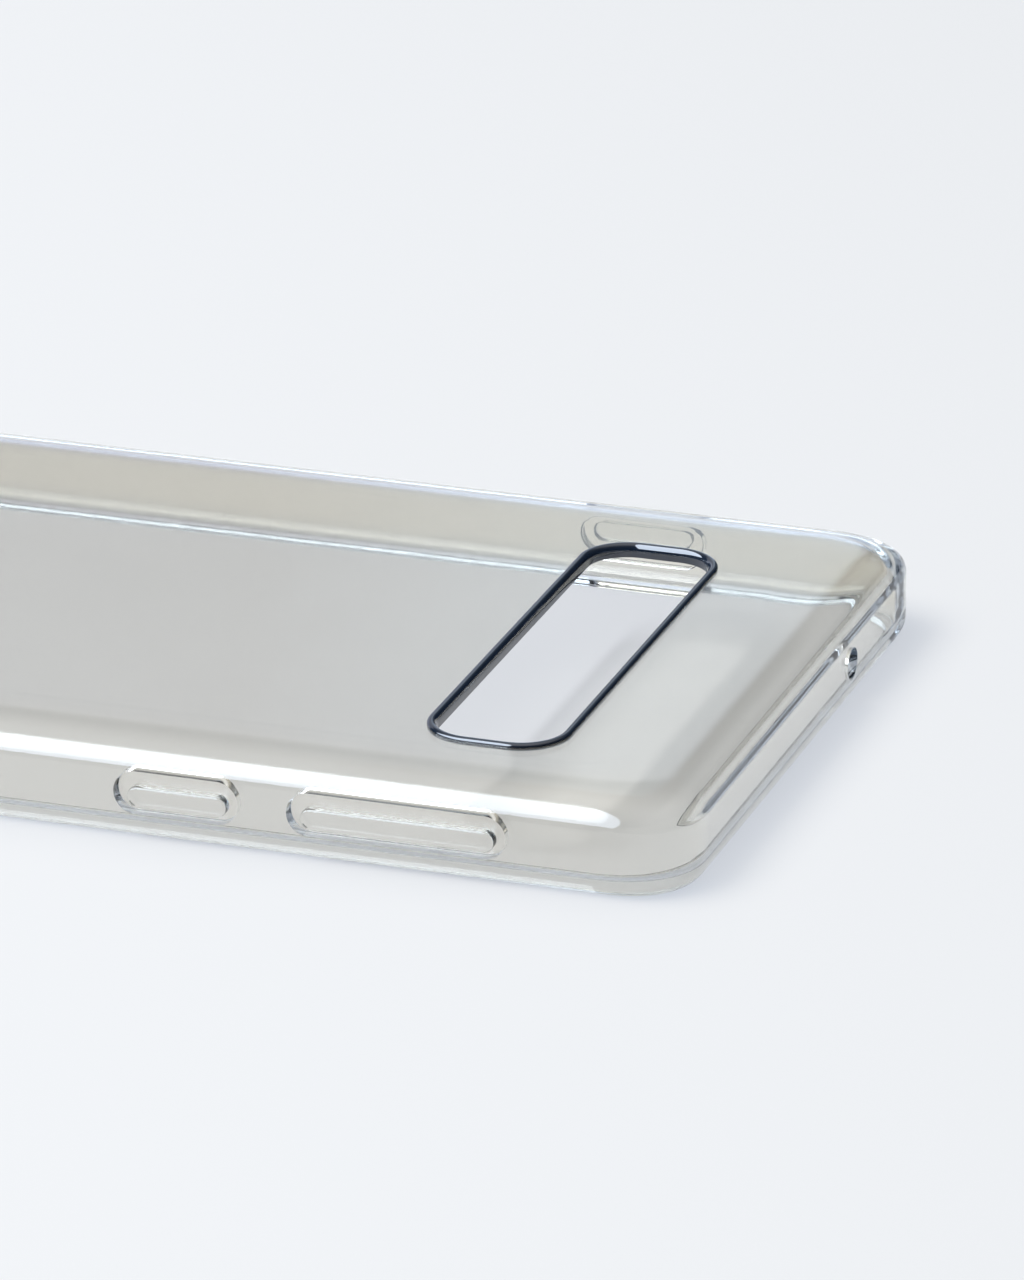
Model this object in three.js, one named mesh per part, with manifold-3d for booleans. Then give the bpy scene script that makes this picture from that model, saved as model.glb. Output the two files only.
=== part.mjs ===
// A clear, smoke-tinted flexible phone case, lying with its back up and its screen opening down.
// Millimetres. +X runs along the length to the phone's top end, +Y across to the power-key side,
// +Z up out of the back. The origin is the centre of the case's footprint, on the surface it lies on.

import * as THREE from 'three';
import * as BufferGeometryUtils from 'three/addons/utils/BufferGeometryUtils.js';
import Module from 'manifold-3d';

const wasm = await Module();
wasm.setup();

// ---------------------------------------------------------------- driving dimensions

const caseLength = 152.6;
const caseWidth = 73.4;
const backHeight = 9.0;          // outer back face above the resting surface
const backThickness = 1.0;
const wallThickness = 1.4;

const cornerReach = 7.3;         // how far along each side a corner of the outer wall bends
const flatCornerReach = 6.0;     // and a corner of the flat back
const cornerFullness = 2.5;      // exponent of the corners' superellipse: 2 is round, more is fuller

const shoulderAcross = 8.0;      // the soft shoulder between back and walls: horizontal reach
const shoulderDrop = 3.2;        // and vertical reach
const shoulderBackPull = 0.75;   // it leaves the back gently
const shoulderWallPull = 0.66;   // and turns down late
const tuckAcross = 1.4;          // the wall curls in under itself at the open side
const tuckHeight = 1.7;
const lipReach = 2.5;            // how far the lip stands in from the outer wall
const lipThickness = 1.1;
const lipRootHeight = 2.4;       // where the wall's inner face starts to curl into the lip
const lipChamfer = 0.2;
const roundPull = 0.5523;        // the pull that makes a bend a quarter of an ellipse

const gap = 0.3;                 // clearance between a moving or separate piece and its opening

const cameraSlot = {
  x: 55.25, y: -1.9,             // centre of the slot
  width: 13.1, length: 51.0,     // over the raised rim
  corner: 4.7,
  rimWidth: 0.9, rimRaise: 0.3, rimRound: 0.25,
};

// Key covers: a pill-shaped pad in a window of the side wall, with a raised pill on the pad.
const keyCovers = [
  { name: 'volume_key_cover', side: -1, x: 50.4, windowLength: 20.0, pillLength: 17.7, pillZ: 3.8 },
  { name: 'shortcut_key_cover', side: -1, x: 30.2, windowLength: 11.5, pillLength: 9.2, pillZ: 3.8 },
  { name: 'power_key_cover', side: 1, x: 49.5, windowLength: 12.0, pillLength: 9.6, pillZ: 4.5 },
];
const windowHeight = 4.0;
const windowZ = 4.3;
const padRecess = 1.0;           // outer face of the pad, in from the wall's outer face
const pillRaise = 0.95;          // raised pill, out from the pad
const pillHeight = 2.0;
const pillRound = 0.2;

// Openings in the two end walls, each a pill of the given width and height.
const portZ = 4.2;
const endOpenings = [
  { end: 1, y: 14.1, z: 3.7, width: 3.0, height: 3.0 },      // top microphone
  { end: -1, y: 0, z: portZ, width: 12.4, height: 5.4 },     // charging port
  { end: -1, y: -18.6, z: portZ, width: 7.0, height: 5.4 },  // audio jack
  { end: -1, y: 18.4, z: portZ, width: 11.6, height: 4.6 },  // loudspeaker
  { end: -1, y: 9.6, z: portZ, width: 2.2, height: 2.2 },    // bottom microphone
];

// ---------------------------------------------------------------- materials

const smokeClear = new THREE.MeshStandardMaterial({
  name: 'smoke_clear', color: 0xc4c3be, roughness: 0.08, metalness: 0, transparent: true, opacity: 0.45,
});
const darkGloss = new THREE.MeshStandardMaterial({
  name: 'dark_gloss', color: 0x1d2836, roughness: 0.06, metalness: 0.2,
});

// ---------------------------------------------------------------- solids

function toSolid(geometry) {
  const bare = geometry.index ? geometry.toNonIndexed() : geometry.clone();
  bare.deleteAttribute('normal');
  bare.deleteAttribute('uv');
  const merged = BufferGeometryUtils.mergeVertices(bare, 1e-4);
  return new wasm.Manifold(new wasm.Mesh({
    numProp: 3,
    vertProperties: merged.attributes.position.array,
    triVerts: merged.index.array,
  }));
}

function toMesh(name, solid, material) {
  const result = solid.getMesh();
  const geometry = new THREE.BufferGeometry();
  geometry.setAttribute('position', new THREE.BufferAttribute(result.vertProperties, 3));
  geometry.setIndex(new THREE.BufferAttribute(result.triVerts, 1));
  geometry.computeVertexNormals();
  const mesh = new THREE.Mesh(geometry, material);
  mesh.name = name;
  return mesh;
}

// A rectangle with round corners, centred on the origin; corners and straights share no doubled point.
function roundedRectangle(width, height, radius, steps) {
  const points = [];
  const corners = [[1, 1, 0], [-1, 1, 1], [-1, -1, 2], [1, -1, 3]];
  for (const [sideX, sideY, quarter] of corners) {
    const centreX = sideX * (width / 2 - radius);
    const centreY = sideY * (height / 2 - radius);
    for (let step = 0; step <= steps; step++) {
      const angle = (quarter + step / steps) * Math.PI / 2;
      points.push(new THREE.Vector2(
        centreX + radius * Math.cos(angle),
        centreY + radius * Math.sin(angle),
      ));
    }
  }
  return points;
}

// A prism of a rounded rectangle, its section in XY and its length along +Z, edges rounded if asked.
function roundedPrism(width, height, radius, depth, round = 0, steps = 10) {
  const outline = roundedRectangle(width, height, radius, steps)
    .filter((point, index, all) => point.distanceTo(all[(index + 1) % all.length]) > 1e-6);
  const geometry = new THREE.ExtrudeGeometry(new THREE.Shape(outline), {
    depth: depth - 2 * round,
    bevelEnabled: round > 0,
    bevelThickness: round,
    bevelSize: round,
    bevelOffset: -round,
    bevelSegments: 3,
  });
  geometry.translate(0, 0, round);
  return geometry;
}

// Stands a prism up in a wall that faces the given way: its section's width runs along the wall and
// its height runs up, and its length runs outwards.
function inSideWall(geometry, side) {
  geometry.rotateX(side * -Math.PI / 2);
  return geometry;
}

function inEndWall(geometry, end) {
  geometry.rotateZ(Math.PI / 2);
  geometry.rotateY(end * Math.PI / 2);
  return geometry;
}

// ---------------------------------------------------------------- the shell

// A bend from start to end, inside the corner where its two ends' tangents meet.
function bend(start, corner, end, steps, startPull = roundPull, endPull = roundPull) {
  const curve = new THREE.CubicBezierCurve(
    start,
    start.clone().lerp(corner, startPull),
    end.clone().lerp(corner, endPull),
    end,
  );
  return curve.getPoints(steps);
}

// The wall's section, from the middle of the outer back, down the outside, round the open lip and up
// the inside to the inner back: X is how far in from the outer wall, and Y how high.
function shellSection() {
  const at = (inset, z) => new THREE.Vector2(inset, z);
  const shoulderSteps = 9;
  const tuckSteps = 4;
  const innerBack = backHeight - backThickness;
  const shoulderFoot = backHeight - shoulderDrop;
  return [
    ...bend(at(shoulderAcross, backHeight), at(0, backHeight), at(0, shoulderFoot),
      shoulderSteps, shoulderBackPull, shoulderWallPull),
    ...bend(at(0, tuckHeight), at(0, 0), at(tuckAcross, 0), tuckSteps),
    at(lipReach - lipChamfer, 0),
    at(lipReach, lipChamfer),
    ...bend(at(lipReach, lipThickness), at(wallThickness, lipThickness),
      at(wallThickness, lipRootHeight), tuckSteps),
    ...bend(at(wallThickness, shoulderFoot), at(wallThickness, innerBack),
      at(shoulderAcross, innerBack), shoulderSteps, shoulderWallPull, shoulderBackPull),
  ];
}

// The case's plan at a given inset from the outer wall: a rectangle whose corners are quarters of a
// superellipse, so that no side turns suddenly from straight to round.
function softRectangle(inset, steps) {
  const reach = cornerReach - (cornerReach - flatCornerReach) * inset / shoulderAcross;
  const soften = (value) => Math.sign(value) * Math.abs(value) ** (2 / cornerFullness);
  const points = [];
  const corners = [[1, 1, 0], [-1, 1, 1], [-1, -1, 2], [1, -1, 3]];
  for (const [sideX, sideY, quarter] of corners) {
    for (let step = 0; step <= steps; step++) {
      const angle = (quarter + step / steps) * Math.PI / 2;
      points.push(new THREE.Vector2(
        sideX * (caseLength / 2 - inset - reach) + reach * soften(Math.cos(angle)),
        sideY * (caseWidth / 2 - inset - reach) + reach * soften(Math.sin(angle)),
      ));
    }
  }
  return points;
}

// Sweeps the section round the case's plan: one ring of points for each point of the section, the
// first and last rings closed by flat faces, which are the outer and the inner back.
function shellGeometry() {
  const cornerSteps = 9;
  const positions = [];
  const triangles = [];
  const rings = shellSection().map((point) => {
    const outline = softRectangle(point.x, cornerSteps);
    const start = positions.length / 3;
    for (const corner of outline) {
      positions.push(corner.x, corner.y, point.y);
    }
    return { start, outline };
  });
  const around = rings[0].outline.length;
  for (let ring = 0; ring + 1 < rings.length; ring++) {
    for (let index = 0; index < around; index++) {
      const next = (index + 1) % around;
      const upper = rings[ring].start;
      const lower = rings[ring + 1].start;
      triangles.push(upper + index, lower + index, lower + next);
      triangles.push(upper + index, lower + next, upper + next);
    }
  }
  const outerBack = rings[0];
  for (const [a, b, c] of THREE.ShapeUtils.triangulateShape(outerBack.outline, [])) {
    triangles.push(outerBack.start + a, outerBack.start + b, outerBack.start + c);
  }
  const innerBack = rings[rings.length - 1];
  for (const [a, b, c] of THREE.ShapeUtils.triangulateShape(innerBack.outline, [])) {
    triangles.push(innerBack.start + a, innerBack.start + c, innerBack.start + b);
  }
  const geometry = new THREE.BufferGeometry();
  geometry.setAttribute('position', new THREE.Float32BufferAttribute(positions, 3));
  geometry.setIndex(triangles);
  return geometry;
}

function makeShell() {
  let shell = toSolid(shellGeometry());

  // the camera slot, through the back, with room for the rim
  const slotDepth = 4;
  const slot = roundedPrism(
    cameraSlot.width + 2 * gap, cameraSlot.length + 2 * gap, cameraSlot.corner + gap, slotDepth);
  slot.translate(cameraSlot.x, cameraSlot.y, backHeight - slotDepth / 2);
  shell = shell.subtract(toSolid(slot));

  // the windows for the key covers, through the side walls
  const reach = 2 * wallThickness;
  for (const cover of keyCovers) {
    const window = inSideWall(
      roundedPrism(cover.windowLength, windowHeight, windowHeight / 2, 2 * reach), cover.side);
    window.translate(cover.x, cover.side * (caseWidth / 2 - reach), windowZ);
    shell = shell.subtract(toSolid(window));
  }

  // the openings in the end walls
  for (const opening of endOpenings) {
    const smaller = Math.min(opening.width, opening.height);
    const cutter = inEndWall(
      roundedPrism(opening.width, opening.height, smaller / 2, 2 * reach), opening.end);
    cutter.translate(opening.end * (caseLength / 2 - reach), opening.y, opening.z);
    shell = shell.subtract(toSolid(cutter));
  }
  return toMesh('shell', shell, smokeClear);
}

// ---------------------------------------------------------------- the camera rim

// A slim ring round the slot, from the inner back to a little above the outer back.
function makeCameraRim() {
  const height = backThickness + cameraSlot.rimRaise;
  const outer = roundedPrism(
    cameraSlot.width, cameraSlot.length, cameraSlot.corner, height, cameraSlot.rimRound);
  const inner = roundedPrism(
    cameraSlot.width - 2 * cameraSlot.rimWidth,
    cameraSlot.length - 2 * cameraSlot.rimWidth,
    cameraSlot.corner - cameraSlot.rimWidth,
    2 * height);
  inner.translate(0, 0, -height / 2);
  const ring = toSolid(outer).subtract(toSolid(inner));
  const rim = toMesh('camera_rim', ring, darkGloss);
  rim.position.set(cameraSlot.x, cameraSlot.y, backHeight - backThickness);
  return rim;
}

// ---------------------------------------------------------------- the key covers

function makeKeyCover(cover) {
  const padHeight = windowHeight - 2 * gap;
  const padDepth = wallThickness - padRecess;
  const pad = roundedPrism(cover.windowLength - 2 * gap, padHeight, padHeight / 2, padDepth, 0.1);
  const pillDepth = padDepth / 2 + pillRaise;
  const pill = roundedPrism(cover.pillLength, pillHeight, pillHeight / 2, pillDepth, pillRound);
  const pillRise = (cover.pillZ - windowZ) * -cover.side;
  pill.translate(0, pillRise, padDepth / 2);
  const solid = toSolid(inSideWall(pad, cover.side)).add(toSolid(inSideWall(pill, cover.side)));
  const mesh = toMesh(cover.name, solid, smokeClear);
  mesh.position.set(cover.x, cover.side * (caseWidth / 2 - wallThickness), windowZ);
  return mesh;
}

// ---------------------------------------------------------------- the assembly

const phoneCase = new THREE.Group();
phoneCase.name = 'phone_case';
phoneCase.add(makeShell());
phoneCase.add(makeCameraRim());
for (const cover of keyCovers) {
  phoneCase.add(makeKeyCover(cover));
}

export default phoneCase;
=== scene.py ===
"""A clear, smoke-tinted flexible phone case, lying back up on a pale studio floor.

Metres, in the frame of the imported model: +X along the length to the handset's top end, +Y across to
the power-key side, +Z up out of the back.
"""

import math

import bmesh
import bpy
from mathutils import Matrix, Vector


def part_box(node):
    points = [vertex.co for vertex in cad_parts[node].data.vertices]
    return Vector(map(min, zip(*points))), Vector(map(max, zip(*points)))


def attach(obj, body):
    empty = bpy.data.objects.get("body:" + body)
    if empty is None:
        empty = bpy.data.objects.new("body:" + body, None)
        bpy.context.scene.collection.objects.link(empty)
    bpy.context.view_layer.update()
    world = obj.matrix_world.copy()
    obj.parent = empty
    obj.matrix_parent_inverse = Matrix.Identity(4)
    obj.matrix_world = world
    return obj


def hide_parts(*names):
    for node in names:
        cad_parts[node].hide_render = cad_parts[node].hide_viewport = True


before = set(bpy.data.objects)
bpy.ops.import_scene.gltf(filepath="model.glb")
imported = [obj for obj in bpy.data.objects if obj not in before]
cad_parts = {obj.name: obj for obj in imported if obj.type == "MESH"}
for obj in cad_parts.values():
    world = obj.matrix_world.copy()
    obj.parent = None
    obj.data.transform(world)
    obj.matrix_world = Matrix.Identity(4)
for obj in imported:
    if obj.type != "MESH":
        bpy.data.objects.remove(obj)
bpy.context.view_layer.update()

MM = 0.001

# ---------------------------------------------------------------- driving dimensions

shell_low, shell_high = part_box("shell")
rim_low, rim_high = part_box("camera_rim")

CASE_LENGTH = shell_high.x - shell_low.x
CASE_WIDTH = shell_high.y - shell_low.y
BACK_HEIGHT = shell_high.z
BACK_THICKNESS = BACK_HEIGHT - rim_low.z
WALL_THICKNESS = 1.4 * MM

CORNER_REACH = 7.3 * MM       # how far along each side a corner of the outer wall bends
FLAT_CORNER_REACH = 6.0 * MM  # and a corner of the flat back
CORNER_FULLNESS = 2.5         # exponent of the corners' superellipse: 2 is round, more is fuller

SHOULDER_ACROSS = 8.0 * MM    # the soft shoulder between back and walls: horizontal reach
SHOULDER_DROP = 3.2 * MM      # and vertical reach
SHOULDER_BACK_PULL = 0.75     # the shoulder leaves the back gently
SHOULDER_WALL_PULL = 0.66     # and turns down late
ROUND_PULL = 0.5523           # the pull that makes a bend a quarter of an ellipse
TUCK_ACROSS = 1.4 * MM        # the wall curls in under itself at the open side
TUCK_HEIGHT = 1.7 * MM
LIP_REACH = 2.5 * MM          # how far the lip stands in from the outer wall
LIP_THICKNESS = 1.1 * MM
LIP_ROOT_HEIGHT = 2.4 * MM    # where the wall's inner face starts to curl into the lip
LIP_CHAMFER = 0.2 * MM

RIM_WIDTH = 0.9 * MM
RIM_CORNER = 4.7 * MM         # outer radius of its corners
RIM_CROWN = 0.1 * MM          # width of the flat round the top of the rim
RIM_SLOPE_DROP = 0.9 * MM     # and how far the bend inside it goes down
RIM_OUTER_SLOPE = 0.35 * MM   # width of the gentle bend outside it
RIM_EDGE_ROUND = 0.12 * MM
RIM_BEDDING = 0.25 * MM       # how far the clear back reaches into the rim that is moulded onto it

CAD_GAP = 0.3 * MM            # round each key cover in the working model
SEAM = 0.05 * MM              # and in the finished surface, where a thin web fills the gap
PAD_RECESS = 1.0 * MM         # outer face of the pad, in from the wall's outer face
PAD_ROUND = 0.15 * MM
PILL_RAISE = 0.95 * MM        # raised pill, out from the pad
PILL_HEIGHT = 2.0 * MM
PILL_ROUND = 0.28 * MM
WINDOW_FLARE = 0.05 * MM      # round edge of each opening, at the outer face of the wall
FLARE_PROUD = 0.02 * MM       # how far the tool that cuts it stands out of the wall
SLOT_EDGE_ROUND = 0.1 * MM

# Key covers: the node that each stands for, the body it rides on, the side wall that it is in (-1 is
# the near one), and the raised pill's length and the height of its middle.
KEY_COVERS = [
    {
        "node": "volume_key_cover", "body": "volume_key", "side": -1,
        "pill": 17.7 * MM, "pill_z": 3.8 * MM,
    },
    {
        "node": "shortcut_key_cover", "body": "shortcut_key", "side": -1,
        "pill": 9.2 * MM, "pill_z": 3.8 * MM,
    },
    {
        "node": "power_key_cover", "body": "power_key", "side": 1,
        "pill": 9.6 * MM, "pill_z": 4.5 * MM,
    },
]

# Openings in the two end walls: which end, place across and up, width and height. In turn they are the
# top end's microphone hole, the charging port, the audio jack, the loudspeaker slot, and a second
# microphone hole.
PORT_Z = 4.2 * MM
END_OPENINGS = [
    {"end": 1, "y": 14.1 * MM, "z": 3.7 * MM, "width": 3.0 * MM, "height": 3.0 * MM},
    {"end": -1, "y": 0.0, "z": PORT_Z, "width": 12.4 * MM, "height": 5.4 * MM},
    {"end": -1, "y": -18.6 * MM, "z": PORT_Z, "width": 7.0 * MM, "height": 5.4 * MM},
    {"end": -1, "y": 18.4 * MM, "z": PORT_Z, "width": 11.6 * MM, "height": 4.6 * MM},
    {"end": -1, "y": 9.6 * MM, "z": PORT_Z, "width": 2.2 * MM, "height": 2.2 * MM},
]

WELD = 0.001 * MM             # points nearer than this are one point
SAME_HEIGHT = 0.002 * MM      # and heights nearer than this are one height
LID_MARGIN = 0.3 * MM         # flat stretch that is swept round the edge of the back, before its lid
BLOCK_LID_MARGIN = 0.05 * MM  # and round each end of a block
CORNER_STEPS = 20
BEND_STEPS = 16
BLOCK_EDGE_STEPS = 6
RIM_BEND_STEPS = 12
SHARP_EDGE = math.radians(24)

# The way a wall's outer face looks, as a turn about the vertical from the near side wall.
NEAR_SIDE = 0.0
FAR_SIDE = math.pi
TOP_END = math.pi / 2
BOTTOM_END = -math.pi / 2


# ---------------------------------------------------------------- geometry node trees

class Tree:
    """A geometry node tree with named sizes, which ends in realised instances and a set material."""

    def __init__(self, name, sizes):
        self.group = bpy.data.node_groups.new(name, "GeometryNodeTree")
        interface = self.group.interface
        for label, example in sizes.items():
            kind = "NodeSocketInt" if isinstance(example, int) else "NodeSocketFloat"
            interface.new_socket(label, in_out="INPUT", socket_type=kind).default_value = example
        interface.new_socket("Finish", in_out="INPUT", socket_type="NodeSocketMaterial")
        interface.new_socket("Geometry", in_out="OUTPUT", socket_type="NodeSocketGeometry")
        self.entry = self.group.nodes.new("NodeGroupInput")

    def size(self, label):
        return self.entry.outputs[label]

    def add(self, kind, settings=None, inputs=None):
        """Adds a node, sets its settings, and fills its inputs with values or with links."""
        node = self.group.nodes.new(kind)
        for key, value in (settings or {}).items():
            setattr(node, key, value)
        for key, value in (inputs or {}).items():
            socket = node.inputs[key]
            if isinstance(value, bpy.types.NodeSocket):
                self.group.links.new(value, socket)
            else:
                socket.default_value = value
        return node

    def math(self, operation, first, second=0.0):
        node = self.add("ShaderNodeMath", {"operation": operation}, {0: first, 1: second})
        return node.outputs[0]

    def less(self, first, second):
        return self.math("SUBTRACT", first, second)

    def plus(self, first, second):
        return self.math("ADD", first, second)

    def point(self, across, up):
        """A point of a section: how far out from its path, and how high. A sweep turns a section's Y
        axis to face down."""
        down = self.math("MULTIPLY", up, -1.0)
        node = self.add("ShaderNodeCombineXYZ", None, {"X": across, "Y": down})
        return node.outputs[0]

    def straight(self, start, end):
        line = self.add("GeometryNodeCurvePrimitiveLine", None, {"Start": start, "End": end})
        return line.outputs[0]

    def bend(self, start, corner, end, steps, start_pull=ROUND_PULL, end_pull=ROUND_PULL):
        """A bend from start to end, inside the corner where its two ends' tangents meet."""
        handles = []
        for tip, pull in ((start, start_pull), (end, end_pull)):
            towards = self.add("ShaderNodeMix", {"data_type": "VECTOR"}, {0: pull, 4: tip, 5: corner})
            handles.append(towards.outputs[1])
        segment = self.add("GeometryNodeCurvePrimitiveBezierSegment", {"mode": "POSITION"}, {
            "Resolution": steps, "Start": start, "Start Handle": handles[0],
            "End Handle": handles[1], "End": end,
        })
        return segment.outputs[0]

    def join(self, parts):
        node = self.add("GeometryNodeJoinGeometry")
        for part in reversed(parts):
            self.group.links.new(part, node.inputs[0])
        return node.outputs[0]

    def one_curve(self, parts):
        """Joins stretches that meet end to end into one curve, with no doubled point."""
        wire = self.add("GeometryNodeCurveToMesh", None, {"Curve": self.join(parts)})
        merged = self.merge(wire.outputs[0])
        return self.add("GeometryNodeMeshToCurve", None, {"Mesh": merged}).outputs[0]

    def merge(self, mesh):
        node = self.add("GeometryNodeMergeByDistance", None, {"Geometry": mesh, "Distance": WELD})
        return node.outputs[0]

    def rounded_path(self, length, width, radius, steps):
        """A rectangle with round corners, as a closed path seen from above."""
        plan = self.add("GeometryNodeCurvePrimitiveQuadrilateral", {"mode": "RECTANGLE"}, {
            "Width": length, "Height": width,
        })
        path = self.add("GeometryNodeFilletCurve", {"mode": "POLY"}, {
            "Curve": plan.outputs[0], "Count": steps, "Radius": radius, "Limit Radius": True,
        })
        closed = self.one_curve([path.outputs[0]])
        upright = self.add("GeometryNodeSetCurveNormal", {"mode": "Z_UP"}, {"Curve": closed})
        return upright.outputs[0]

    def superellipse_path(self):
        """A closed path with a run of points for each of four corners. For each point it keeps the
        way that the corner bends outwards, and the side of the middle that the corner is on."""
        run = self.plus(self.size("Corner Steps"), 1.0)
        circle = self.add("GeometryNodeCurvePrimitiveCircle", {"mode": "RADIUS"}, {
            "Resolution": self.math("MULTIPLY", run, 4.0),
        })
        index = self.add("GeometryNodeInputIndex").outputs[0]
        corner = self.math("FLOOR", self.math("DIVIDE", self.plus(index, 0.5), run))
        step = self.less(index, self.math("MULTIPLY", corner, run))
        turned = self.plus(corner, self.math("DIVIDE", step, self.size("Corner Steps")))
        power = self.math("DIVIDE", 2.0, self.size("Corner Fullness"))
        outward = []
        quadrant = []
        for wave in ("COSINE", "SINE"):
            plain = self.math(wave, self.math("MULTIPLY", turned, math.pi / 2))
            size = self.math("POWER", self.math("ABSOLUTE", plain), power)
            outward.append(self.math("MULTIPLY", size, self.math("SIGN", plain)))
            middle = self.math("MULTIPLY", self.plus(corner, 0.5), math.pi / 2)
            quadrant.append(self.math("SIGN", self.math(wave, middle)))
        way = self.add("ShaderNodeCombineXYZ", None, {"X": outward[0], "Y": outward[1]}).outputs[0]
        side = self.add("ShaderNodeCombineXYZ", None, {"X": quadrant[0], "Y": quadrant[1]}).outputs[0]
        path, kept_way = self.keep(circle.outputs[0], "Outward", way)
        path, kept_side = self.keep(path, "Quadrant", side)
        return path, kept_way, kept_side

    def keep(self, geometry, label, value):
        """Keeps a vector that is worked out for each point here, for use after a sweep."""
        node = self.add("GeometryNodeCaptureAttribute")
        node.capture_items.new("VECTOR", label)
        self.group.links.new(geometry, node.inputs[0])
        self.group.links.new(value, node.inputs[label])
        return node.outputs[0], node.outputs[label]

    def parts_of(self, vector):
        node = self.add("ShaderNodeSeparateXYZ", None, {0: vector})
        return node.outputs["X"], node.outputs["Y"], node.outputs["Z"]

    def sweep(self, path, section):
        swept = self.add("GeometryNodeCurveToMesh", None, {"Curve": path, "Profile Curve": section})
        return swept.outputs[0]

    def lid(self, swept, height):
        """A flat face that closes the open end of a sweep at the given height."""
        position = self.add("GeometryNodeInputPosition")
        place = self.add("ShaderNodeSeparateXYZ", None, {0: position.outputs[0]})
        level = self.add("ShaderNodeMath", {"operation": "COMPARE"}, {
            0: place.outputs["Z"], 1: height, 2: SAME_HEIGHT,
        })
        neighbours = self.add("GeometryNodeInputMeshEdgeNeighbors")
        single = self.add("ShaderNodeMath", {"operation": "COMPARE"}, {
            0: neighbours.outputs[0], 1: 1.0, 2: 0.1,
        })
        rim = self.math("MULTIPLY", level.outputs[0], single.outputs[0])
        loop = self.add("GeometryNodeMeshToCurve", None, {"Mesh": swept, "Selection": rim})
        fill = self.add("GeometryNodeFillCurve", {"mode": "NGONS"}, {"Curve": loop.outputs[0]})
        lift = self.add("ShaderNodeCombineXYZ", None, {"Z": height})
        raised = self.add("GeometryNodeSetPosition", None, {
            "Geometry": fill.outputs[0], "Offset": lift.outputs[0],
        })
        return raised.outputs[0]

    def finish(self, geometry):
        smooth = self.add("GeometryNodeSetShadeSmooth", None, {"Geometry": geometry})
        whole = self.add("GeometryNodeRealizeInstances", None, {"Geometry": smooth.outputs[0]})
        painted = self.add("GeometryNodeSetMaterial", None, {
            "Geometry": whole.outputs[0], "Material": self.size("Finish"),
        })
        exit_node = self.group.nodes.new("NodeGroupOutput")
        self.group.links.new(painted.outputs[0], exit_node.inputs[0])
        return self.group


def shell_tree():
    """The case's wall: its section swept round a plan whose corners are quarters of a superellipse,
    with a flat outer and inner back."""
    tree = Tree("shell sweep", {
        "Length": CASE_LENGTH, "Width": CASE_WIDTH,
        "Corner Reach": CORNER_REACH, "Flat Corner Reach": FLAT_CORNER_REACH,
        "Corner Fullness": CORNER_FULLNESS,
        "Back Height": BACK_HEIGHT, "Back Thickness": BACK_THICKNESS, "Wall": WALL_THICKNESS,
        "Shoulder Across": SHOULDER_ACROSS, "Shoulder Drop": SHOULDER_DROP,
        "Shoulder Back Pull": SHOULDER_BACK_PULL, "Shoulder Wall Pull": SHOULDER_WALL_PULL,
        "Tuck Across": TUCK_ACROSS, "Tuck Height": TUCK_HEIGHT,
        "Lip Reach": LIP_REACH, "Lip Thickness": LIP_THICKNESS,
        "Lip Root Height": LIP_ROOT_HEIGHT, "Lip Chamfer": LIP_CHAMFER,
        "Corner Steps": CORNER_STEPS, "Bend Steps": BEND_STEPS,
    })
    path, outward, quadrant = tree.superellipse_path()
    section, section_point = tree.keep(
        shell_section(tree), "Section Point", tree.add("GeometryNodeInputPosition").outputs[0])
    swept = tree.sweep(path, section)

    inset, height, _ = tree.parts_of(section_point)
    share = tree.math("DIVIDE", inset, tree.size("Shoulder Across"))
    shrink = tree.less(tree.size("Corner Reach"), tree.size("Flat Corner Reach"))
    reach = tree.less(tree.size("Corner Reach"), tree.math("MULTIPLY", share, shrink))
    sides = []
    for side, full, way in zip(
            tree.parts_of(quadrant), ("Length", "Width"), tree.parts_of(outward)):
        half = tree.math("MULTIPLY", tree.size(full), 0.5)
        centre = tree.less(tree.less(half, inset), reach)
        sides.append(tree.plus(tree.math("MULTIPLY", side, centre), tree.math("MULTIPLY", way, reach)))
    place = tree.add("ShaderNodeCombineXYZ", None, {"X": sides[0], "Y": sides[1], "Z": height})
    shaped = tree.add("GeometryNodeSetPosition", None, {
        "Geometry": swept, "Position": place.outputs[0],
    }).outputs[0]

    top = tree.size("Back Height")
    inner_top = tree.less(top, tree.size("Back Thickness"))
    closed = tree.merge(tree.join([shaped, tree.lid(shaped, top), tree.lid(shaped, inner_top)]))
    return tree.finish(closed)


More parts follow.
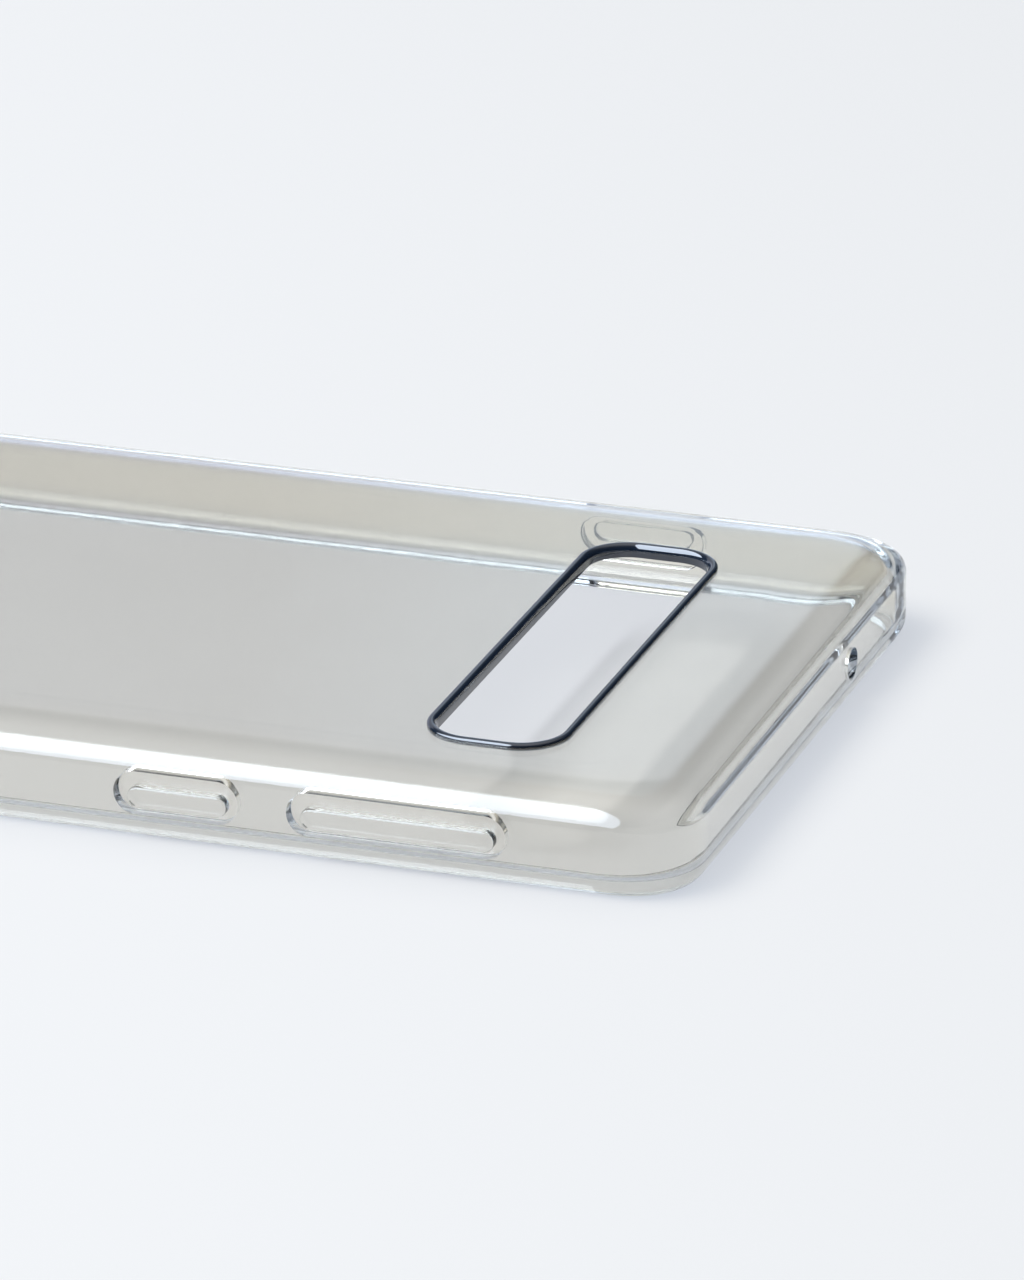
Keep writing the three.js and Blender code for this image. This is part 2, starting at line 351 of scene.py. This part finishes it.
def shell_section(tree):
    """The wall's section, from the outer back down the outside, round the open lip and up the inside:
    X is how far in from the outer wall, and Y how high."""
    wall = tree.size("Wall")
    across = tree.size("Shoulder Across")
    top = tree.size("Back Height")
    inner_top = tree.less(top, tree.size("Back Thickness"))
    foot = tree.less(top, tree.size("Shoulder Drop"))
    tuck = tree.size("Tuck Height")
    lip = tree.size("Lip Reach")
    lip_top = tree.size("Lip Thickness")
    lip_root = tree.size("Lip Root Height")
    back_pull = tree.size("Shoulder Back Pull")
    wall_pull = tree.size("Shoulder Wall Pull")
    steps = tree.size("Bend Steps")
    flat_margin = tree.plus(across, LID_MARGIN)

    def at(inset, height):
        return tree.add("ShaderNodeCombineXYZ", None, {"X": inset, "Y": height}).outputs[0]

    rest_edge = at(tree.size("Tuck Across"), 0.0)
    lip_edge = at(tree.less(lip, tree.size("Lip Chamfer")), 0.0)
    lip_low = at(lip, tree.size("Lip Chamfer"))
    lip_high = at(lip, lip_top)
    return tree.one_curve([
        tree.straight(at(flat_margin, top), at(across, top)),
        tree.bend(at(across, top), at(0.0, top), at(0.0, foot), steps, back_pull, wall_pull),
        tree.straight(at(0.0, foot), at(0.0, tuck)),
        tree.bend(at(0.0, tuck), at(0.0, 0.0), rest_edge, steps),
        tree.straight(rest_edge, lip_edge),
        tree.straight(lip_edge, lip_low),
        tree.straight(lip_low, lip_high),
        tree.bend(lip_high, at(wall, lip_top), at(wall, lip_root), steps),
        tree.straight(at(wall, lip_root), at(wall, foot)),
        tree.bend(
            at(wall, foot), at(wall, inner_top), at(across, inner_top), steps, wall_pull, back_pull),
        tree.straight(at(across, inner_top), at(flat_margin, inner_top)),
    ])


def block_tree():
    """A flat-backed block with a rounded outline. Its front edge is rounded in, or flared out if the
    edge size is negative, as the tool that cuts a round-edged opening is."""
    tree = Tree("rounded block", {
        "Length": 20.0 * MM, "Height": 4.0 * MM, "Corner Radius": 2.0 * MM, "Depth": 1.0 * MM,
        "Edge": 0.1 * MM, "Corner Steps": CORNER_STEPS, "Edge Steps": BLOCK_EDGE_STEPS,
    })
    depth = tree.size("Depth")
    edge = tree.size("Edge")
    edge_rise = tree.math("ABSOLUTE", edge)
    edge_in = tree.math("MULTIPLY", edge, -1.0)
    back = tree.point(0.0, 0.0)
    back_flat = tree.point(-BLOCK_LID_MARGIN, 0.0)
    side_end = tree.point(0.0, tree.less(depth, edge_rise))
    front = tree.point(edge_in, depth)
    front_flat = tree.point(tree.less(edge_in, BLOCK_LID_MARGIN), depth)
    section = tree.one_curve([
        tree.straight(back_flat, back),
        tree.straight(back, side_end),
        tree.bend(side_end, tree.point(0.0, depth), front, tree.size("Edge Steps")),
        tree.straight(front, front_flat),
    ])
    path = tree.rounded_path(
        tree.size("Length"), tree.size("Height"), tree.size("Corner Radius"), tree.size("Corner Steps"))
    swept = tree.sweep(path, section)
    closed = tree.merge(tree.join([swept, tree.lid(swept, 0.0), tree.lid(swept, depth)]))
    return tree.finish(closed)


def rim_tree():
    """A slim ring along the camera slot. Its top slopes into the slot in one wide bend, and out to the
    back in a smaller one."""
    tree = Tree("slot ring", {
        "Length": 51.0 * MM, "Width": 13.1 * MM, "Corner Radius": RIM_CORNER,
        "Ring Width": RIM_WIDTH, "Ring Height": 1.3 * MM,
        "Crown": RIM_CROWN, "Slope Drop": RIM_SLOPE_DROP, "Outer Slope": RIM_OUTER_SLOPE,
        "Raise": rim_high.z - BACK_HEIGHT, "Edge Round": RIM_EDGE_ROUND,
        "Corner Steps": CORNER_STEPS, "Bend Steps": RIM_BEND_STEPS,
    })
    outer = tree.math("MULTIPLY", tree.size("Ring Width"), 0.5)
    inner = tree.math("MULTIPLY", outer, -1.0)
    top = tree.size("Ring Height")
    edge = tree.size("Edge Round")
    steps = tree.size("Bend Steps")
    slope_foot = tree.less(top, tree.size("Slope Drop"))
    crown_out = tree.less(outer, tree.size("Outer Slope"))
    crown_in = tree.less(crown_out, tree.size("Crown"))
    outer_foot = tree.less(top, tree.size("Raise"))
    outer_low = tree.less(outer, edge)
    inner_low = tree.plus(inner, edge)
    point = tree.point
    section = tree.one_curve([
        tree.straight(point(outer_low, 0.0), point(inner_low, 0.0)),
        tree.bend(point(inner_low, 0.0), point(inner, 0.0), point(inner, edge), steps),
        tree.straight(point(inner, edge), point(inner, slope_foot)),
        tree.bend(point(inner, slope_foot), point(inner, top), point(crown_in, top), steps),
        tree.straight(point(crown_in, top), point(crown_out, top)),
        tree.bend(point(crown_out, top), point(outer, top), point(outer, outer_foot), steps),
        tree.straight(point(outer, outer_foot), point(outer, edge)),
        tree.bend(point(outer, edge), point(outer, 0.0), point(outer_low, 0.0), steps),
    ])
    path = tree.rounded_path(
        tree.less(tree.size("Length"), tree.size("Ring Width")),
        tree.less(tree.size("Width"), tree.size("Ring Width")),
        tree.less(tree.size("Corner Radius"), outer),
        tree.size("Corner Steps"))
    return tree.finish(tree.merge(tree.sweep(path, section)))


def grow(name, group, sizes, finish, place=None):
    """Makes a plain mesh object from a tree and its sizes, and sets its place into the mesh."""
    seed = bpy.data.objects.new(name + "_seed", bpy.data.meshes.new(name + "_seed"))
    bpy.context.scene.collection.objects.link(seed)
    modifier = seed.modifiers.new("tree", "NODES")
    modifier.node_group = group
    for item in group.interface.items_tree:
        if item.in_out == "INPUT" and item.name in sizes:
            modifier[item.identifier] = sizes[item.name]
        if item.in_out == "INPUT" and item.name == "Finish":
            modifier[item.identifier] = finish
    depsgraph = bpy.context.evaluated_depsgraph_get()
    mesh = bpy.data.meshes.new_from_object(seed.evaluated_get(depsgraph))
    bpy.data.objects.remove(seed)
    mesh.name = name
    if place is not None:
        mesh.transform(place)
    turn_outwards(mesh)
    piece = bpy.data.objects.new(name, mesh)
    bpy.context.scene.collection.objects.link(piece)
    return piece


def turn_outwards(mesh):
    work = bmesh.new()
    work.from_mesh(mesh)
    bmesh.ops.remove_doubles(work, verts=work.verts, dist=WELD)
    bmesh.ops.recalc_face_normals(work, faces=work.faces)
    work.to_mesh(mesh)
    work.free()


def shape_with(piece, tools, operation):
    """Cuts the tools out of the piece, or joins them to it, and clears the tools away."""
    for tool in tools:
        modifier = piece.modifiers.new("shape", "BOOLEAN")
        modifier.operation = operation
        modifier.solver = "EXACT"
        modifier.object = tool
    depsgraph = bpy.context.evaluated_depsgraph_get()
    mesh = bpy.data.meshes.new_from_object(piece.evaluated_get(depsgraph))
    piece.modifiers.clear()
    piece.data = mesh
    for tool in tools:
        bpy.data.objects.remove(tool)


def smooth_over(piece):
    """Smooth all over, with crisp edges where two faces meet at more than a shallow angle. A large
    face counts for more than a small one, so a flat face stays flat up to its rounded edge."""
    mesh = piece.data
    mesh.shade_smooth()
    mesh.set_sharp_from_angle(angle=SHARP_EDGE)
    limit = math.cos(SHARP_EDGE)
    around = [[] for _ in mesh.vertices]
    for face in mesh.polygons:
        for vertex in face.vertices:
            around[vertex].append((face.normal.copy(), face.area))
    corner_normals = []
    for face in mesh.polygons:
        for vertex in face.vertices:
            total = Vector((0.0, 0.0, 0.0))
            for normal, area in around[vertex]:
                if face.normal.dot(normal) > limit:
                    total += normal * area
            corner_normals.append(total.normalized())
    mesh.normals_split_custom_set(corner_normals)


def in_wall(turn, x, y, z):
    """Stands a block up in a wall: its length runs along the wall, its front looks out of it."""
    return (
        Matrix.Translation((x, y, z))
        @ Matrix.Rotation(turn, 4, "Z")
        @ Matrix.Rotation(math.pi / 2, 4, "X")
    )


# ---------------------------------------------------------------- materials

def shader(owner, kind, inputs=None, **settings):
    """Adds a node to a material or to the world, and fills its inputs with values or with links."""
    node = owner.node_tree.nodes.new(kind)
    for key, value in settings.items():
        setattr(node, key, value)
    for key, value in (inputs or {}).items():
        socket = node.inputs[key]
        if isinstance(value, bpy.types.NodeSocket):
            owner.node_tree.links.new(value, socket)
        else:
            socket.default_value = value
    return node


def new_material(name):
    material = bpy.data.materials.new(name)
    material.use_nodes = True
    material.node_tree.nodes.clear()
    return material


def make_smoke_clear():
    """Clear flexible plastic with a smoke tint, a little uneven, as a moulded sheet of it is. Light on
    its way to the floor passes straight through it, and is dimmed a little."""
    material = new_material("smoke_clear")
    place = shader(material, "ShaderNodeTexCoord")
    clouds = shader(material, "ShaderNodeTexNoise", {
        "Vector": place.outputs["Object"], "Scale": 28.0, "Detail": 2.0, "Roughness": 0.5,
    })
    tint = shader(material, "ShaderNodeValToRGB", {"Fac": clouds.outputs[0]})
    tint.color_ramp.elements[0].position = 0.3
    tint.color_ramp.elements[0].color = (0.855, 0.82, 0.735, 1)
    tint.color_ramp.elements[1].position = 0.7
    tint.color_ramp.elements[1].color = (0.885, 0.85, 0.765, 1)
    ripple = shader(material, "ShaderNodeTexNoise", {
        "Vector": place.outputs["Object"], "Scale": 90.0, "Detail": 1.0, "Roughness": 0.4,
    })
    bump = shader(material, "ShaderNodeBump", {
        "Height": ripple.outputs[0], "Strength": 0.06, "Distance": 0.2 * MM,
    })
    plastic = shader(material, "ShaderNodeBsdfPrincipled", {
        "Base Color": tint.outputs[0], "Normal": bump.outputs[0],
        "Transmission Weight": 1.0, "IOR": 1.5, "Roughness": 0.03, "Metallic": 0.0,
    })
    shade = shader(material, "ShaderNodeBsdfTransparent", {"Color": (0.92, 0.92, 0.925, 1)})
    light_path = shader(material, "ShaderNodeLightPath")
    mixed = shader(material, "ShaderNodeMixShader", {
        0: light_path.outputs["Is Shadow Ray"], 1: plastic.outputs[0], 2: shade.outputs[0],
    })
    depth = shader(material, "ShaderNodeVolumeAbsorption", {
        "Color": (0.45, 0.60, 0.78, 1), "Density": 55.0,
    })
    shader(material, "ShaderNodeOutputMaterial", {
        "Surface": mixed.outputs[0], "Volume": depth.outputs[0],
    })
    return material


def make_navy_gloss_painted_shade():
    """Gloss of a deep navy, with a faint unevenness, for the ring round the camera slot. The deep navy
    is painted shade: it stands in for the dark that the clear plastic's raised edge shows there by
    refraction.
    """
    material = new_material("dark_gloss")
    place = shader(material, "ShaderNodeTexCoord")
    clouds = shader(material, "ShaderNodeTexNoise", {
        "Vector": place.outputs["Object"], "Scale": 160.0, "Detail": 2.0,
    })
    # The ring's deep navy base colour is painted shade, standing in for the dark refraction at a clear
    # raised edge; its unevenness is random tone.
    tint = shader(material, "ShaderNodeValToRGB", {"Fac": clouds.outputs[0]})
    tint.color_ramp.elements[0].color = (0.006, 0.014, 0.032, 1)
    tint.color_ramp.elements[1].color = (0.014, 0.026, 0.050, 1)
    painted_shade_gloss = shader(material, "ShaderNodeBsdfPrincipled", {
        "Base Color": tint.outputs[0], "Roughness": 0.06, "IOR": 1.9, "Metallic": 0.0,
    })
    shader(material, "ShaderNodeOutputMaterial", {"Surface": painted_shade_gloss.outputs[0]})
    return material


def make_floor_paper():
    """Matt pale paper, very slightly blue."""
    material = new_material("floor_paper")
    place = shader(material, "ShaderNodeTexCoord")
    grain = shader(material, "ShaderNodeTexNoise", {
        "Vector": place.outputs["Object"], "Scale": 3.0, "Detail": 3.0,
    })
    tint = shader(material, "ShaderNodeValToRGB", {"Fac": grain.outputs[0]})
    tint.color_ramp.elements[0].color = (0.795, 0.815, 0.845, 1)
    tint.color_ramp.elements[1].color = (0.815, 0.835, 0.860, 1)
    paper = shader(material, "ShaderNodeBsdfPrincipled", {
        "Base Color": tint.outputs[0], "Roughness": 0.9, "Specular IOR Level": 0.0,
    })
    shader(material, "ShaderNodeOutputMaterial", {"Surface": paper.outputs[0]})
    return material


# ---------------------------------------------------------------- the camera

# It looks down at the end with the slot, from the near side and from past the top end.
CAMERA_AZIMUTH = math.radians(18.617)
CAMERA_ELEVATION = math.radians(21.253)
CAMERA_DISTANCE = 825.75 * MM
CAMERA_AIM = Vector((42.26 * MM, 18.92 * MM, 0.0))
CAMERA_LENS = 252.66          # millimetres, on a sensor 36 mm high


def make_camera():
    data = bpy.data.cameras.new("camera")
    data.lens = CAMERA_LENS
    data.sensor_width = 36.0
    data.sensor_fit = "AUTO"
    data.clip_start = 0.05
    data.clip_end = 50.0
    data.dof.use_dof = False
    camera = bpy.data.objects.new("camera", data)
    bpy.context.scene.collection.objects.link(camera)
    back = Vector((
        math.sin(CAMERA_AZIMUTH) * math.cos(CAMERA_ELEVATION),
        -math.cos(CAMERA_AZIMUTH) * math.cos(CAMERA_ELEVATION),
        math.sin(CAMERA_ELEVATION),
    ))
    camera.location = CAMERA_AIM + back * CAMERA_DISTANCE
    camera.rotation_euler = back.to_track_quat("Z", "Y").to_euler()
    bpy.context.scene.camera = camera


# ---------------------------------------------------------------- the pieces

def slot_tool(finish, block):
    """Cuts the camera slot, a little smaller than the rim's outside, so that the rim is bedded in."""
    middle = (rim_low + rim_high) / 2
    middle.z = BACK_HEIGHT - 2 * BACK_THICKNESS
    return grow("slot_tool", block, {
        "Length": rim_high.x - rim_low.x - 2 * RIM_BEDDING,
        "Height": rim_high.y - rim_low.y - 2 * RIM_BEDDING,
        "Corner Radius": RIM_CORNER - RIM_BEDDING,
        "Depth": 3 * BACK_THICKNESS, "Edge": SLOT_EDGE_ROUND,
    }, finish, Matrix.Translation(middle))


def window_tool(cover, reach, finish, block):
    """Cuts the window of a key cover through its side wall."""
    low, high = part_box(cover["node"])
    turn = NEAR_SIDE if cover["side"] < 0 else FAR_SIDE
    height = high.z - low.z + 2 * CAD_GAP
    back = cover["side"] * (CASE_WIDTH / 2 + FLARE_PROUD - reach)
    return grow("window_tool", block, {
        "Length": high.x - low.x + 2 * CAD_GAP, "Height": height, "Corner Radius": height / 2,
        "Depth": reach, "Edge": -WINDOW_FLARE,
    }, finish, in_wall(turn, (low.x + high.x) / 2, back, (low.z + high.z) / 2))


def port_tool(opening, reach, finish, block):
    """Cuts one opening through an end wall."""
    turn = TOP_END if opening["end"] > 0 else BOTTOM_END
    back = opening["end"] * (CASE_LENGTH / 2 + FLARE_PROUD - reach)
    return grow("port_tool", block, {
        "Length": opening["width"], "Height": opening["height"],
        "Corner Radius": min(opening["width"], opening["height"]) / 2,
        "Depth": reach, "Edge": -WINDOW_FLARE,
    }, finish, in_wall(turn, back, opening["y"], opening["z"]))


def make_shell(finish, sweep, block):
    shell = grow("soft_shell", sweep, {}, finish)
    reach = 2 * WALL_THICKNESS
    tools = [slot_tool(finish, block)]
    for cover in KEY_COVERS:
        tools.append(window_tool(cover, reach, finish, block))
    for opening in END_OPENINGS:
        tools.append(port_tool(opening, reach, finish, block))
    shape_with(shell, tools, "DIFFERENCE")
    smooth_over(shell)
    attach(shell, "case")
    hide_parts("shell")


def make_rim(finish, ring):
    centre = (rim_low + rim_high) / 2
    centre.z = rim_low.z
    rim = grow("slot_rim", ring, {
        "Length": rim_high.x - rim_low.x, "Width": rim_high.y - rim_low.y,
        "Ring Height": rim_high.z - rim_low.z,
    }, finish, Matrix.Translation(centre))
    rim.data.shade_smooth()
    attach(rim, "case")
    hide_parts("camera_rim")


def make_key_cover(cover, finish, block):
    low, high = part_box(cover["node"])
    turn = NEAR_SIDE if cover["side"] < 0 else FAR_SIDE
    x = (low.x + high.x) / 2
    z = (low.z + high.z) / 2
    inner_face = cover["side"] * (CASE_WIDTH / 2 - WALL_THICKNESS)
    pad_depth = WALL_THICKNESS - PAD_RECESS
    growth = 2 * CAD_GAP - 2 * SEAM
    pad_height = high.z - low.z + growth
    name = cover["body"] + "_pad"
    pad = grow(name, block, {
        "Length": high.x - low.x + growth, "Height": pad_height,
        "Corner Radius": pad_height / 2, "Depth": pad_depth, "Edge": PAD_ROUND,
    }, finish, in_wall(turn, x, inner_face, z))
    root = cover["side"] * (CASE_WIDTH / 2 - WALL_THICKNESS + pad_depth / 2)
    pill = grow(name + "_pill", block, {
        "Length": cover["pill"], "Height": PILL_HEIGHT, "Corner Radius": PILL_HEIGHT / 2,
        "Depth": pad_depth / 2 + PILL_RAISE, "Edge": PILL_ROUND,
    }, finish, in_wall(turn, x, root, cover["pill_z"]))
    shape_with(pad, [pill], "UNION")
    smooth_over(pad)
    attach(pad, cover["body"])
    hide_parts(cover["node"])


# ---------------------------------------------------------------- the studio

FLOOR_SIZE = 8.0

# The main light is one large soft panel, up to the left and towards the viewer. The fill comes from
# straight above.
PANEL_HEIGHT = 2.0
PANEL_RIGHT_EDGE = -0.55
PANEL_LENGTH = 1.33
PANEL_NEAR_EDGE = -1.83
PANEL_FAR_EDGE = 0.25
PANEL_RADIANCE = 7.05
FILL_HEIGHT = 2.5
FILL_SIZE = 6.0
FILL_RADIANCE = 0.71

# What the gloss reflects: a dark navy room, paler overhead, with pale sheets hung in it. ROOM gives the
# colour at each height of a unit direction, from level to straight up.
ROOM = [
    (0.0, (0.02, 0.03, 0.055)),
    (0.3, (0.03, 0.04, 0.06)),
    (0.6, (0.10, 0.10, 0.10)),
    (1.0, (1.0, 1.0, 1.0)),
]

# Each sheet is given by the directions that it fills: limits on each part of a unit direction, how
# softly it ends, and its colour. The near sheet is also cut to a disc: its middle, and the cosine of
# the angle from there to its edge.
BEYOND = 2.0                  # past any part of a unit direction, so it sets no limit
FAR_SHEET = (0.4, BEYOND)
WIDE_SHEET_RIGHT = -0.125     # where the wide far sheets end
SHEETS = [
    {
        "x": (-BEYOND, WIDE_SHEET_RIGHT), "y": FAR_SHEET, "z": (-BEYOND, 0.52),
        "fade": 0.04, "colour": (0.45, 0.46, 0.50),
    },
    {
        "x": (-BEYOND, WIDE_SHEET_RIGHT), "y": FAR_SHEET, "z": (-BEYOND, 0.22),
        "fade": 0.10, "colour": (0.25, 0.27, 0.38),
    },
    {
        "x": (-0.305, WIDE_SHEET_RIGHT), "y": FAR_SHEET, "z": (-BEYOND, 0.72),
        "fade": 0.04, "colour": (0.20, 0.28, 0.35),
    },
    {
        "x": (-0.02, 0.14), "y": FAR_SHEET, "z": (-BEYOND, 0.60),
        "fade": 0.04, "colour": (0.13, 0.14, 0.15),
    },
    {
        "x": (-BEYOND, BEYOND), "y": (-BEYOND, -0.01), "z": (0.25, BEYOND),
        "fade": 0.02, "colour": (6.2, 7.0, 8.2),
        "disc": (Vector((-0.809, -0.417, 0.417)), 0.637),
    },
]


def make_floor(finish):
    work = bmesh.new()
    bmesh.ops.create_grid(work, x_segments=8, y_segments=8, size=FLOOR_SIZE / 2)
    mesh = bpy.data.meshes.new("floor")
    work.to_mesh(mesh)
    work.free()
    mesh.materials.append(finish)
    floor = bpy.data.objects.new("floor", mesh)
    bpy.context.scene.collection.objects.link(floor)


def make_panel(name, centre, length, width, radiance):
    """A soft panel facing down, which lights the matt surfaces: the gloss reflects the room instead."""
    data = bpy.data.lights.new(name, "AREA")
    data.shape = "RECTANGLE"
    data.size = length
    data.size_y = width
    data.energy = radiance * math.pi * length * width
    data.cycles.use_multiple_importance_sampling = False
    panel = bpy.data.objects.new(name, data)
    panel.location = centre
    panel.visible_glossy = False
    panel.visible_transmission = False
    bpy.context.scene.collection.objects.link(panel)


def make_lights():
    width = PANEL_FAR_EDGE - PANEL_NEAR_EDGE
    main_centre = (
        PANEL_RIGHT_EDGE - PANEL_LENGTH / 2, PANEL_NEAR_EDGE + width / 2, PANEL_HEIGHT)
    make_panel("main_panel", main_centre, PANEL_LENGTH, width, PANEL_RADIANCE)
    make_panel("fill_panel", (0.0, 0.0, FILL_HEIGHT), FILL_SIZE, FILL_SIZE, FILL_RADIANCE)


def trim(world, mask, value, outside, inside):
    """Trims a sheet's mask: it is clear where the value is at the outside mark, full at the inside."""
    edge = shader(world, "ShaderNodeMapRange", {
        "Value": value, "From Min": outside, "From Max": inside,
    })
    trimmed = shader(world, "ShaderNodeMath", {0: edge.outputs[0], 1: mask}, operation="MULTIPLY")
    return trimmed.outputs[0]


def sheet_mask(world, sheet, way):
    """Where a sheet shows: 1 inside its limits and 0 outside them."""
    parts = shader(world, "ShaderNodeSeparateXYZ", {0: way}).outputs
    fade = sheet["fade"]
    mask = 1.0
    for axis in "xyz":
        low, high = sheet[axis]
        part = parts[axis.upper()]
        mask = trim(world, mask, part, low - fade / 2, low + fade / 2)
        mask = trim(world, mask, part, high + fade / 2, high - fade / 2)
    if "disc" in sheet:
        middle, cosine = sheet["disc"]
        towards = shader(world, "ShaderNodeVectorMath", {0: way, 1: middle}, operation="DOT_PRODUCT")
        mask = trim(world, mask, towards.outputs["Value"], cosine, cosine + fade)
    return mask


def make_world():
    """The room and its sheets. Only gloss and clear pieces see them: the lamps light the matt ones."""
    world = bpy.data.worlds.new("studio")
    world.use_nodes = True
    world.cycles_visibility.diffuse = False
    bpy.context.scene.world = world
    world.node_tree.nodes.clear()

    way = shader(world, "ShaderNodeTexCoord").outputs["Generated"]
    height = shader(world, "ShaderNodeSeparateXYZ", {0: way}).outputs["Z"]
    room = shader(world, "ShaderNodeValToRGB", {0: height})
    elements = room.color_ramp.elements
    elements.remove(elements[-1])
    elements[0].position = ROOM[0][0]
    elements[0].color = (*ROOM[0][1], 1)
    for place, colour in ROOM[1:]:
        elements.new(place).color = (*colour, 1)
    total = room.outputs[0]
    for sheet in SHEETS:
        glow = shader(world, "ShaderNodeVectorMath", {
            0: sheet["colour"], "Scale": sheet_mask(world, sheet, way),
        }, operation="SCALE").outputs[0]
        total = shader(world, "ShaderNodeVectorMath", {0: total, 1: glow}, operation="ADD").outputs[0]
    background = shader(world, "ShaderNodeBackground", {"Color": total})
    shader(world, "ShaderNodeOutputWorld", {"Surface": background.outputs[0]})


def set_film():
    scene = bpy.context.scene
    scene.view_settings.view_transform = "Standard"
    scene.view_settings.look = "None"
    scene.cycles.use_denoising = True
    scene.cycles.caustics_reflective = False
    scene.cycles.caustics_refractive = False
    scene.cycles.max_bounces = 16
    scene.cycles.transmission_bounces = 16
    scene.cycles.glossy_bounces = 8
    scene.cycles.transparent_max_bounces = 24


# ---------------------------------------------------------------- the whole

make_camera()
smoke_clear = make_smoke_clear()
dark_gloss = make_navy_gloss_painted_shade()
sweep = shell_tree()
block = block_tree()
ring = rim_tree()

make_shell(smoke_clear, sweep, block)
make_rim(dark_gloss, ring)
for key_cover in KEY_COVERS:
    make_key_cover(key_cover, smoke_clear, block)

make_floor(make_floor_paper())
make_lights()
make_world()
set_film()
